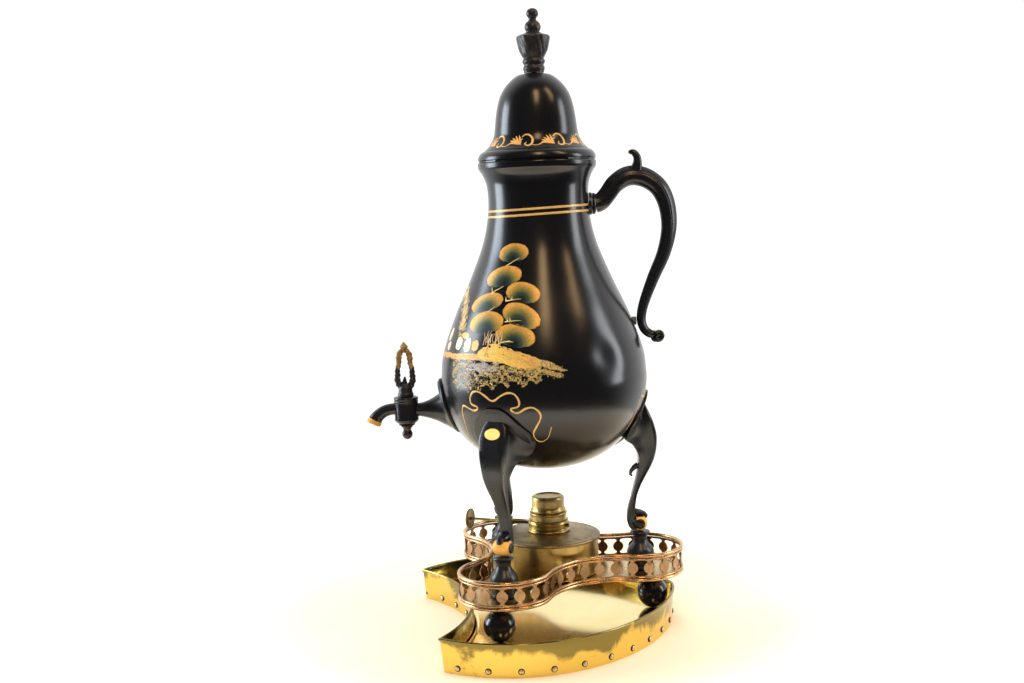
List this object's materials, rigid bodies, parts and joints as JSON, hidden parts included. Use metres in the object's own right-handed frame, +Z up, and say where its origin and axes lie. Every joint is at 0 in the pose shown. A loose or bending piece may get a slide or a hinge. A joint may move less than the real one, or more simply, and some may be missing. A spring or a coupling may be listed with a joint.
{
  "type": "coffee urn",
  "caption": "Pear-shaped lidded urn on cabriole legs with a scroll handle and a tap, over a spirit burner on a galleried trefoil stand in a riveted drip tray.",
  "frame": {"origin": "on the table, under the middle of the whole footprint; the urn's own axis is at x 16.1 mm, y 3.7 mm", "axes": "+Z up along the urn's axis, +X towards the handle, -X towards the tap, -Y towards the side with the front leg"},
  "size_m": [0.2379, 0.2254, 0.4641],
  "materials": {
    "black_japan": "gloss black japan lacquer with gold painting",
    "japanned_casting": "semi-gloss black japan over a casting",
    "polished_brass": "polished",
    "red_brass": "satin, rose coloured",
    "aged_brass": "aged, mottled",
    "black_wood": "black painted turned wood",
    "gunmetal": "dark bronzed",
    "cotton": "woven",
    "tinned": "tinned"
  },
  "bodies": {
    "tray": {"tray_wall": "polished_brass", "tray_floor": "polished_brass"},
    "stand": {"stand_plate": "red_brass", "gallery_band": "red_brass", "gallery_bottom_rail": "red_brass", "gallery_top_rail": "red_brass", "ball_foot_right": "black_wood", "ball_foot_front": "black_wood", "ball_foot_back": "black_wood", "pad_right": "black_wood", "pad_front": "black_wood", "pad_back": "black_wood", "pad_screw_right": "aged_brass", "pad_screw_front": "aged_brass", "pad_screw_back": "aged_brass"},
    "burner": {"burner_reservoir": "aged_brass", "burner_shoulder": "aged_brass", "burner_collar": "aged_brass", "burner_sleeve": "aged_brass", "wick_tube": "aged_brass"},
    "cap": {"snuffer_cap": "aged_brass"},
    "spindle": {"wick_spindle": "aged_brass", "spindle_knob": "aged_brass"},
    "wick": {"wick": "cotton"},
    "urn": {"urn_body": "black_japan", "handle": "japanned_casting", "handle_ferrule": "japanned_casting", "handle_boss": "japanned_casting", "tap_body": "japanned_casting", "leg_right": "japanned_casting", "leg_front": "japanned_casting", "leg_back": "japanned_casting", "leg_plate_right": "japanned_casting", "leg_plate_front": "japanned_casting", "leg_plate_back": "japanned_casting"},
    "lid": {"lid_dome": "black_japan", "lid_bezel": "black_japan", "finial": "gunmetal", "finial_nut": "tinned"},
    "tap_key": {"tap_key": "japanned_casting", "tap_washer": "aged_brass", "tap_nut": "gunmetal"}
  },
  "joints": [
    {"name": "stand_lift", "type": "slide", "parent": "tray", "child": "stand", "axis": [0, 0, 1], "range_m": [0, 0.06]},
    {"name": "urn_lift", "type": "slide", "parent": "stand", "child": "urn", "axis": [0, 0, 1], "range_m": [0, 0.15]},
    {"name": "burner_lift", "type": "slide", "parent": "stand", "child": "burner", "axis": [0, 0, 1], "range_m": [0, 0.008]},
    {"name": "cap_lift", "type": "slide", "parent": "burner", "child": "cap", "axis": [0, 0, 1], "range_m": [0, 0.0135]},
    {"name": "spindle_turn", "type": "hinge", "parent": "burner", "child": "spindle", "pos_m": [0.01532, 0.00186, 0.0786], "axis": [0.9205, -0.3907, 0], "range_deg": [-120, 57]},
    {"name": "wick_slide", "type": "slide", "parent": "burner", "child": "wick", "axis": [0, 0, 1], "range_m": [-0.007, 0.0034]},
    {"name": "lid_lift", "type": "slide", "parent": "urn", "child": "lid", "axis": [0, 0, 1], "range_m": [0, 0.06]},
    {"name": "tap_turn", "type": "hinge", "parent": "urn", "child": "tap_key", "pos_m": [-0.0887, 0.0037, 0.17], "axis": [0, 0, 1], "continuous": true}
  ],
  "couplings": [
    {"joint": "wick_slide", "follows": "spindle_turn", "m_per_rad": 0.0033}
  ]
}
